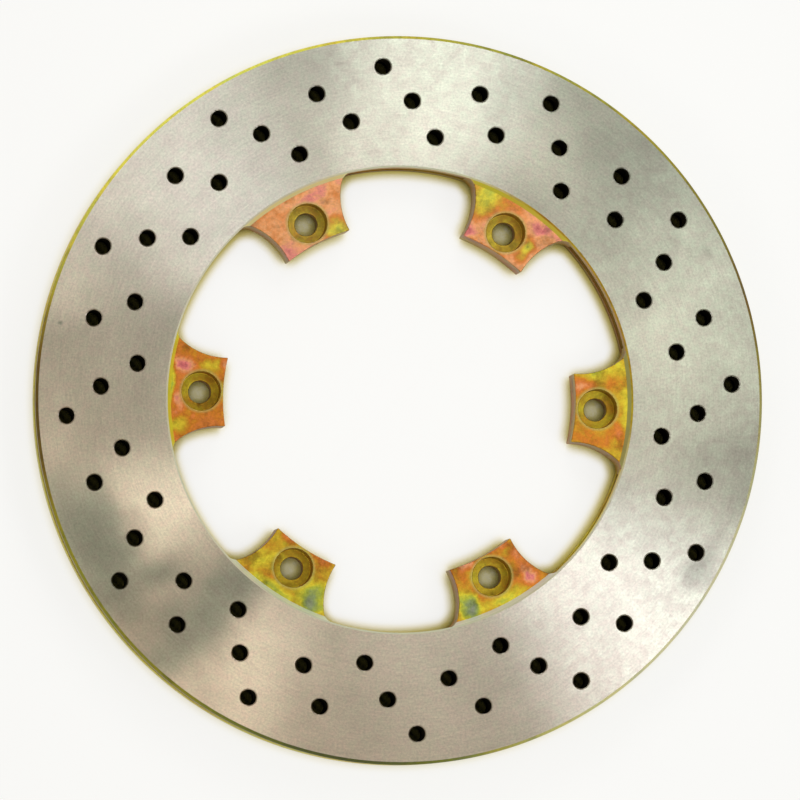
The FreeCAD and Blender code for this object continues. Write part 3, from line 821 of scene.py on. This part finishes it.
def round_lug_edges(piece):
    """Breaks every edge but those let into the plates and the lips' feet, which stay crisp."""
    piece.data.shade_smooth()
    shape = bmesh.new()
    shape.from_mesh(piece.data)
    bmesh.ops.remove_doubles(shape, verts=shape.verts, dist=WELD)
    weights = shape.edges.layers.float.new("bevel_weight_edge")
    for edge in shape.edges:
        bend = edge.calc_face_angle(0)
        reaches = [vertex.co.xy.length for vertex in edge.verts]
        inner = max(reaches) < PLATE_BORE_RADIUS - WELD
        at_foot = all(abs(reach - LIP_FOOT_RADIUS) < 0.02 * MM for reach in reaches)
        if bend > math.radians(30) and inner and not at_foot:
            edge[weights] = 1.0
        elif bend > math.radians(15):
            edge.smooth = False
    shape.to_mesh(piece.data)
    shape.free()
    rounding = piece.modifiers.new("edge_round", "BEVEL")
    rounding.limit_method = "WEIGHT"
    rounding.width = EDGE_ROUND
    rounding.segments = 3
    rounding.use_clamp_overlap = False
    rounding.loop_slide = False
    rounding.harden_normals = True


# Each lug drained and dried its own way in the dip. Film is its usual thickness; the pale share is
# a painted highlight, a pale wash over the lugs at the top where the lamps shine on them; a patch
# is (outwards mm, round mm, reach outwards, reach round, change of film); lip is the colour on the
# turned lip beside the plates, partly its film and partly painted light and shade.
LUG_FILMS = {
    1: dict(film=0.47, painted_highlight=0.0, lip=(0.40, 0.42, 0.16), patches=[
        (0, 12.0, 12, 5.5, -0.18), (-5, 6, 6, 3.5, 0.26), (9, 2, 3, 12, -0.12),
        (-2, -9, 9, 5, 0.09), (6, -6, 4, 4, 0.20)]),
    2: dict(film=0.71, painted_highlight=0.06, lip=(0.72, 0.66, 0.06), patches=[
        (6, 10, 9, 8.5, -0.50), (-6, 9, 5, 4.5, 0.16), (-7.5, 2, 3, 7, -0.44),
        (-1, -6.8, 6, 3, -0.42), (6, -8, 3, 6, 0.16), (8, 2, 3, 6, -0.10)]),
    3: dict(film=0.72, painted_highlight=0.10, lip=(0.86, 0.84, 0.40), patches=[
        (-5.5, 8, 6, 5, 0.12), (8, 9, 4.5, 6, -0.10), (-6.5, -7, 6, 5.5, -0.46),
        (-4, -5, 4, 4, -0.20), (7, -4, 3.5, 8, 0.10)]),
    4: dict(film=0.55, painted_highlight=0.0, lip=(0.80, 0.74, 0.05), patches=[
        (5.5, 10, 5, 3.5, -0.14), (-2, 8, 7, 3.5, 0.05), (6.2, 3, 3.4, 5.5, 0.24),
        (5.5, -7, 6, 4, 0.32), (-4, -6.5, 6, 4, -0.16), (-6.5, -7, 3, 4, 0.26),
        (-6, 0, 3, 5, -0.12), (9.6, 0, 2.4, 18, -0.30)]),
    5: dict(film=0.42, painted_highlight=0.0, lip=(0.80, 0.88, 0.66), patches=[
        (-7, 4.5, 4.5, 6, 0.24), (4.5, 9.5, 7, 6.5, -0.36), (8.5, -2, 3, 12, -0.18),
        (-7, -5, 3.5, 4, 0.20), (3, -10, 7, 3, -0.05)]),
    6: dict(film=0.49, painted_highlight=0.0, lip=(0.84, 0.85, 0.72), patches=[
        (-1, 9.5, 10, 4, 0.13), (4.5, 10, 4, 3.5, 0.26), (-7.5, 4.5, 3.5, 4.5, 0.34),
        (-7, -4.5, 3.5, 3.5, 0.28), (7.5, 1, 3.5, 8, -0.22), (-4, -9, 5, 4, -0.05),
        (5.5, -9.5, 8, 6, -0.48), (3.5, -6, 3.5, 2.4, 0.18)]),
}


def lug_film(number):
    """The lug's own run of film colours on its milled face, lip and counterbore."""
    look = LUG_FILMS[number]
    turn = 360 / LUG_COUNT * (number - 1)
    material, bench, shader, place, colour = yellow_plate(
        "lug_face_%d" % number, look["film"], 0.36, 200.0, 0.50, metal=0.5, gloss=0.2)
    flat_place = bench.flat(place)
    height = bench.apart(place)["Z"]
    off_middle = bench.maths("ABSOLUTE", height)
    # the lug's own axes: outwards from its bolt hole, and round the disc
    own = bench.make("ShaderNodeMapping", {
        "Vector": flat_place, "Location": tuple(polar(BOLT_RADIUS, turn)),
        "Rotation": (0.0, 0.0, math.radians(turn))}, vector_type="TEXTURE")
    loose = wander(bench, own, 160.0, 0.006)
    film = look["film"]
    for out_by, side_by, reach_out, reach_side, change in look["patches"]:
        film = bench.plus(film, soft_patch(bench, loose, (out_by * MM, side_by * MM, 0),
                                           (reach_out * MM, reach_side * MM, 1.0), change))
    # a thin greener collar where the film drew back from the mouth of the counterbore
    from_bolt = bench.length(own)
    collar = bench.times(
        bench.spread(from_bolt, COUNTERBORE_RADIUS, COUNTERBORE_RADIUS + 1.0 * MM, 0.75, 0.0),
        bench.above(height, LUG_FACE - 0.25 * MM))
    # down the counterbore the plate is a thicker, even gold
    sunk = bench.times(bench.below(from_bolt, COUNTERBORE_RADIUS - 0.05 * MM),
                       bench.below(off_middle, LUG_FACE - 0.25 * MM))
    bench.wire(colour, {"Film": bench.choose(sunk, film, 0.41)})
    # a painted highlight: a pale wash over the lugs at the top, where the lamps shine on them
    painted = bench.mix(look["painted_highlight"], colour.outputs["Color"], (0.76, 0.62, 0.30))
    painted = bench.mix(collar, painted, (0.42, 0.40, 0.12))
    # the turned lip takes a colour of its own on each lug: partly its film, partly painted light
    # and shade, pale on the lips that face the lamps and dark on those that face away
    lip = bench.times(bench.above(bench.length(flat_place), LIP_FOOT_RADIUS),
                      bench.above(off_middle, LUG_FACE + 0.02 * MM))
    painted = bench.mix(bench.times(lip, 0.85), painted, look["lip"])
    bench.wire(shader, {"Base Color": painted})
    return material


LUG_SHAPE = lug_shape()
# the lugs' walls take the same plate, rough and without metal, its tone held to 0.62 of the
# faces': a painted shade on the walls
LUG_WALL = yellow_plate("lug_wall", 0.47, 0.45, 110.0, 0.6, 0.62, metal=0.0, gloss=0.12)[0]
for number in range(1, LUG_COUNT + 1):
    lug = bpy.data.objects.new("mounting_lug_%d_finish" % number, LUG_SHAPE.copy())
    bpy.context.scene.collection.objects.link(lug)
    turn = math.radians(360 / LUG_COUNT * (number - 1))
    for vertex in lug.data.vertices:
        x, y, z = vertex.co
        vertex.co = (x * math.cos(turn) - y * math.sin(turn),
                     x * math.sin(turn) + y * math.cos(turn), z)
    lug.data.materials.clear()
    lug.data.materials.append(lug_film(number))
    lug.data.materials.append(LUG_WALL)
    for face in lug.data.polygons:
        face.material_index = int(abs(face.normal.z) < 0.5)
    round_lug_edges(lug)
    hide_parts("mounting_lug_%d" % number)
    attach(lug, "root")


# ---------------------------------------------------------------------------
# Floor: a sheet of matt white board that the disc lies on. It reads as white paper, and falls
# through the plate's gold to near black where the disc shuts out the light.
# ---------------------------------------------------------------------------
FLOOR_REACH = 4.0
FLOOR_HEIGHT = -FACE_HEIGHT - 0.02 * MM


def white_board():
    material, bench, shader, place = new_finish("white_board")
    fibre = bench.noise(place, 60.0, 2.0)
    tones = bench.ramp(fibre, [(0.0, (0.88, 0.86, 0.81)), (1.0, (0.91, 0.89, 0.84))])
    # outside the rim the room's light comes in under it, so the shade there is slight
    open_sky = bench.add("ShaderNodeAmbientOcclusion", {"Distance": 0.56 * FACE_HEIGHT},
                         samples=8).outputs["AO"]
    outside = bench.above(bench.length(bench.flat(place)), RIM_RADIUS)
    shade = bench.times(bench.minus(1.0, bench.times(outside, 0.55)),
                        bench.minus(1.0, open_sky))
    open_sky = bench.minus(1.0, shade)
    covered = bench.ramp(open_sky, [
        (0.32, (0.03, 0.03, 0.025)), (0.46, (0.72, 0.60, 0.16)), (0.65, (0.94, 0.84, 0.36)),
        (0.90, (1.0, 1.0, 1.0))])
    bench.wire(shader, {"Base Color": bench.mix(1.0, tones, covered, "MULTIPLY"),
                        "Roughness": 0.9, "Specular IOR Level": 0.1})
    # seen straight or in a mirror the open board glows white, and the shaded board less
    rays = bench.add("ShaderNodeLightPath").outputs
    seen = bench.maths("MAXIMUM", rays["Is Camera Ray"], bench.maths(
        "MAXIMUM", rays["Is Glossy Ray"], rays["Is Transmission Ray"]))
    clear = bench.spread(open_sky, 0.36, 0.90)
    glow = bench.ramp(clear, [
        (0.0, (0.40, 0.36, 0.10)), (0.46, (0.56, 0.50, 0.12)), (0.66, (0.96, 0.91, 0.72)),
        (0.84, (1.00, 0.975, 0.89)), (1.0, (1.0, 1.0, 0.985))])
    white = bench.make("ShaderNodeEmission", {"Color": glow, "Strength": 1.0})
    lit = bench.times(seen, bench.times(clear, 0.82))
    surface = bench.make("ShaderNodeMixShader", {"Fac": lit, 1: shader.outputs[0], 2: white})
    bench.wire(material.node_tree.nodes["Material Output"], {"Surface": surface})
    return material


floor = mesh_piece("floor", [(x * FLOOR_REACH, y * FLOOR_REACH, FLOOR_HEIGHT)
                             for x, y in ((-1, -1), (1, -1), (1, 1), (-1, 1))], [(0, 1, 2, 3)])
floor.data.materials.append(white_board())


# ---------------------------------------------------------------------------
# Studio light: a dim pale room and six soft round lamps standing round the disc, each aimed at
# its middle. Their shine spreads in fans over the ground faces.
# ---------------------------------------------------------------------------
ROOM_STRENGTH = 0.40


def studio_lamp(name, azimuth, elevation, distance, width, level, colour):
    """A round soft lamp aimed at the disc. Level is the light it lays on a flat white board."""
    lamp = bpy.data.lights.new(name, "AREA")
    lamp.shape = "DISK"
    lamp.size = width
    lamp.color = colour
    slant = math.sin(math.radians(elevation))
    lamp.energy = level * math.pi ** 2 * distance ** 2 / slant
    holder = bpy.data.objects.new(name, lamp)
    bpy.context.scene.collection.objects.link(holder)
    level_reach = distance * math.cos(math.radians(elevation))
    holder.location = polar(level_reach, azimuth, distance * slant)
    holder.rotation_euler = holder.location.to_track_quat("Z", "Y").to_euler()
    holder.visible_camera = False


studio_lamp("lamp_low_right", 329.0, 58, 0.52, 0.19, 0.162, (0.86, 0.91, 1.05))
studio_lamp("lamp_top", 81.0, 52, 0.32, 0.13, 0.14, (0.96, 0.98, 1.00))
studio_lamp("lamp_top_left", 116.0, 52, 0.32, 0.20, 0.060, (0.97, 0.99, 0.98))
studio_lamp("lamp_right", 12.0, 56, 0.36, 0.28, 0.125, (0.93, 1.00, 0.95))
studio_lamp("lamp_low_left", 245.5, 55, 0.36, 0.12, 0.060, (1.00, 0.98, 0.95))
studio_lamp("lamp_left", 206.0, 55, 0.32, 0.10, 0.055, (1.00, 0.97, 0.93))

world = bpy.data.worlds.new("pale_room")
bpy.context.scene.world = world
world.use_nodes = True
world.node_tree.nodes["Background"].inputs["Color"].default_value = (1.0, 0.95, 0.86, 1)
world.node_tree.nodes["Background"].inputs["Strength"].default_value = ROOM_STRENGTH


# ---------------------------------------------------------------------------
# Camera: far off with a long lens and nearly overhead, so that the disc stays nearly round. It
# leans a little to one side, which shows the walls of rim and bore as thin bands.
# ---------------------------------------------------------------------------
CAMERA_DISTANCE = 2.7
CAMERA_LEAN = 0.105
CAMERA_AZIMUTH = 210.0
CAMERA_ROLL = 2.35
CAMERA_LENS = 429.2
AIM = Vector((0.66 * MM, 0.32 * MM, 0))

camera_data = bpy.data.cameras.new("camera")
camera_data.lens = CAMERA_LENS
camera_data.sensor_width = 36
camera_data.clip_end = 20
camera = bpy.data.objects.new("camera", camera_data)
bpy.context.scene.collection.objects.link(camera)
sight = (polar(CAMERA_LEAN, CAMERA_AZIMUTH) + Vector((0, 0, 1))).normalized()
picture_up = polar(1, 90 + CAMERA_ROLL)
picture_right = picture_up.cross(sight).normalized()
picture_up = sight.cross(picture_right)
camera.matrix_world = Matrix((
    (picture_right.x, picture_up.x, sight.x, AIM.x + sight.x * CAMERA_DISTANCE),
    (picture_right.y, picture_up.y, sight.y, AIM.y + sight.y * CAMERA_DISTANCE),
    (picture_right.z, picture_up.z, sight.z, AIM.z + sight.z * CAMERA_DISTANCE),
    (0, 0, 0, 1)))
bpy.context.scene.camera = camera
bpy.context.scene.view_settings.view_transform = "Standard"
